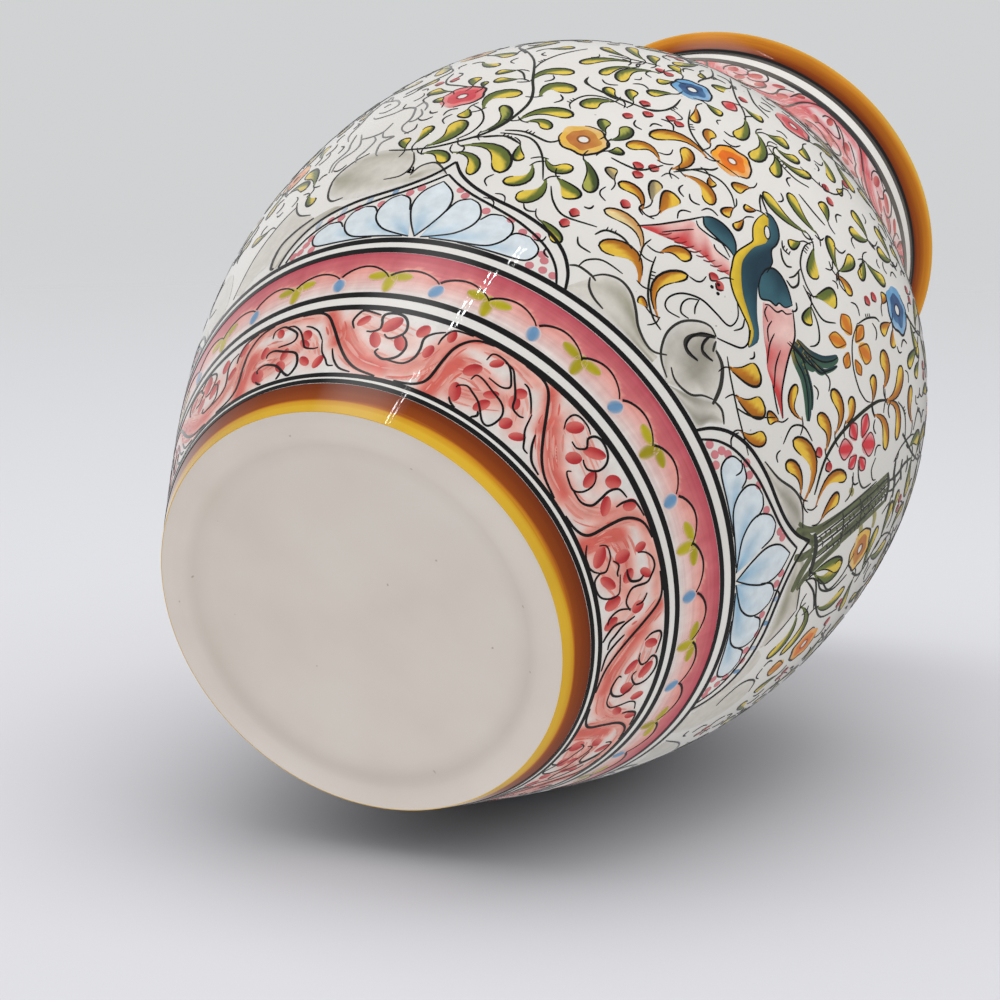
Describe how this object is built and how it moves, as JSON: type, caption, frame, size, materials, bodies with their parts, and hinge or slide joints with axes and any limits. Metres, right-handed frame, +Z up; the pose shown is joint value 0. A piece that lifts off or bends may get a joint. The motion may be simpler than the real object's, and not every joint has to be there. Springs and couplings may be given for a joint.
{
  "type": "ceramic vase",
  "caption": "Round-bellied footed vase of glazed earthenware with a narrow neck and flared lip, painted with bands, vines, flowers and birds; holds flowers or stands as an ornament.",
  "frame": {"origin": "centre of the foot, on the surface that the vase stands on", "axes": "+Z up along the vase's axis; the vase is round, so X and Y are only told apart by the painting"},
  "size_m": [0.1648, 0.1648, 0.2285],
  "materials": {
    "bare_clay": "matt fired earthenware",
    "white_glaze": "glossy white glaze",
    "cream_glaze": "satin cream glaze",
    "yellow_glaze": "glossy yellow glaze",
    "brown_glaze": "glossy brown glaze",
    "red_wash_glaze": "glossy glaze with a red wash",
    "rose_wash_glaze": "glossy glaze with a rose wash",
    "black_glaze": "glossy black brush line"
  },
  "bodies": {
    "root": {"foot_ring": "bare_clay", "floor_disc": "bare_clay", "lower_wall": "bare_clay", "upper_wall": "bare_clay", "neck_collar": "bare_clay", "lip_ring": "bare_clay", "inside_glaze": "white_glaze", "base_glaze": "cream_glaze", "foot_yellow_glaze": "yellow_glaze", "foot_brown_glaze": "brown_glaze", "scroll_band_glaze": "red_wash_glaze", "scallop_band_glaze": "rose_wash_glaze", "body_glaze": "white_glaze", "neck_band_glaze": "red_wash_glaze", "white_rings": "white_glaze", "black_lines": "black_glaze", "rim_brown_glaze": "brown_glaze", "rim_yellow_glaze": "yellow_glaze"}
  },
  "joints": []
}
